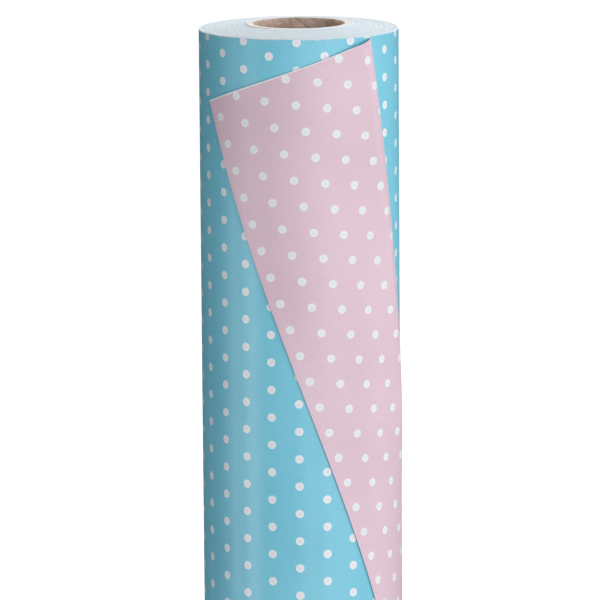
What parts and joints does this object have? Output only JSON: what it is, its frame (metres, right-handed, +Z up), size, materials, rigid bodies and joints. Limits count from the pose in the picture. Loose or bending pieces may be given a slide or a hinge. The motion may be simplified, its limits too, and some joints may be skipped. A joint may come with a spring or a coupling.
{
  "type": "wrapping paper roll",
  "caption": "Standing roll of dotted gift-wrap paper on a cardboard tube, with a loose outer turn whose top corner is folded down to show the back.",
  "frame": {"origin": "on the roll's axis at its bottom end", "axes": "+Z up along the axis; -Y is the front, where the folded corner shows; angles run from the front, positive towards +X"},
  "size_m": [0.109, 0.1089, 0.7025],
  "materials": {
    "cardboard": "matte",
    "tape": "satin",
    "paper_edge": "matte",
    "paper_face": "satin",
    "paper_back": "satin"
  },
  "bodies": {
    "roll": {"core_ply_inner": "cardboard", "core_ply_2": "cardboard", "core_ply_3": "cardboard", "core_ply_4": "cardboard", "core_ply_5": "cardboard", "core_ply_outer": "cardboard", "core_tape": "tape", "wound_paper": "paper_edge", "outer_turn_fixed": "paper_face"},
    "wrap_1": {"wrap_panel_1": "paper_face"},
    "wrap_2": {"wrap_panel_2": "paper_face"},
    "wrap_3": {"wrap_panel_3": "paper_face"},
    "wrap_4": {"wrap_panel_4": "paper_face", "crease_strip_4": "paper_back"},
    "wrap_5": {"wrap_panel_5": "paper_face", "crease_strip_5": "paper_back"},
    "wrap_6": {"wrap_panel_6": "paper_face", "crease_strip_6": "paper_back"},
    "wrap_7": {"wrap_panel_7": "paper_face", "crease_strip_7": "paper_back"},
    "corner_1": {"corner_leaf_1": "paper_back"},
    "corner_2": {"corner_leaf_2": "paper_back"},
    "corner_3": {"corner_leaf_3": "paper_back"},
    "corner_4": {"corner_leaf_4": "paper_back"}
  },
  "joints": [
    {"name": "unroll", "type": "hinge", "parent": "roll", "child": "wrap_1", "pos_m": [-0.05081, -0.02053, 0.35], "axis": [0, 0, -1], "range_deg": [0, 32], "stiffness_Nm_per_rad": 0.004},
    {"name": "uncurl_2", "type": "hinge", "parent": "wrap_1", "child": "wrap_2", "pos_m": [-0.03221, -0.04433, 0.35], "axis": [0, 0, -1], "range_deg": [0, 32], "stiffness_Nm_per_rad": 0.004},
    {"name": "uncurl_3", "type": "hinge", "parent": "wrap_2", "child": "wrap_3", "pos_m": [-0.00382, -0.05467, 0.35], "axis": [0, 0, -1], "range_deg": [0, 32], "stiffness_Nm_per_rad": 0.004},
    {"name": "uncurl_4", "type": "hinge", "parent": "wrap_3", "child": "wrap_4", "pos_m": [0.02573, -0.04839, 0.35], "axis": [0, 0, -1], "range_deg": [0, 32], "stiffness_Nm_per_rad": 0.004},
    {"name": "uncurl_5", "type": "hinge", "parent": "wrap_4", "child": "wrap_5", "pos_m": [0.04746, -0.0274, 0.35], "axis": [0, 0, -1], "range_deg": [0, 32], "stiffness_Nm_per_rad": 0.004},
    {"name": "uncurl_6", "type": "hinge", "parent": "wrap_5", "child": "wrap_6", "pos_m": [0.05477, 0.00191, 0.35], "axis": [0, 0, -1], "range_deg": [0, 32], "stiffness_Nm_per_rad": 0.004},
    {"name": "uncurl_7", "type": "hinge", "parent": "wrap_6", "child": "wrap_7", "pos_m": [0.04543, 0.03064, 0.35], "axis": [0, 0, -1], "range_deg": [0, 32], "stiffness_Nm_per_rad": 0.004},
    {"name": "corner_lift", "type": "hinge", "parent": "wrap_4", "child": "corner_1", "pos_m": [0.03667, -0.04072, 0.6], "axis": [0, 0, 1], "range_deg": [0, 110], "stiffness_Nm_per_rad": 0.001},
    {"name": "corner_uncurl_2", "type": "hinge", "parent": "corner_1", "child": "corner_2", "pos_m": [0.02573, -0.04839, 0.6], "axis": [0, 0, 1], "range_deg": [0, 32], "stiffness_Nm_per_rad": 0.001},
    {"name": "corner_uncurl_3", "type": "hinge", "parent": "corner_2", "child": "corner_3", "pos_m": [-0.00382, -0.05467, 0.6], "axis": [0, 0, 1], "range_deg": [0, 32], "stiffness_Nm_per_rad": 0.001},
    {"name": "corner_uncurl_4", "type": "hinge", "parent": "corner_3", "child": "corner_4", "pos_m": [-0.03221, -0.04433, 0.6], "axis": [0, 0, 1], "range_deg": [0, 32], "stiffness_Nm_per_rad": 0.001}
  ],
  "couplings": [
    {"joint": "uncurl_2", "follows": "unroll", "ratio": 1},
    {"joint": "uncurl_3", "follows": "unroll", "ratio": 1},
    {"joint": "uncurl_4", "follows": "unroll", "ratio": 1},
    {"joint": "uncurl_5", "follows": "unroll", "ratio": 1},
    {"joint": "uncurl_6", "follows": "unroll", "ratio": 1},
    {"joint": "uncurl_7", "follows": "unroll", "ratio": 1},
    {"joint": "corner_uncurl_2", "follows": "unroll", "ratio": 1},
    {"joint": "corner_uncurl_3", "follows": "unroll", "ratio": 1},
    {"joint": "corner_uncurl_4", "follows": "unroll", "ratio": 1}
  ]
}
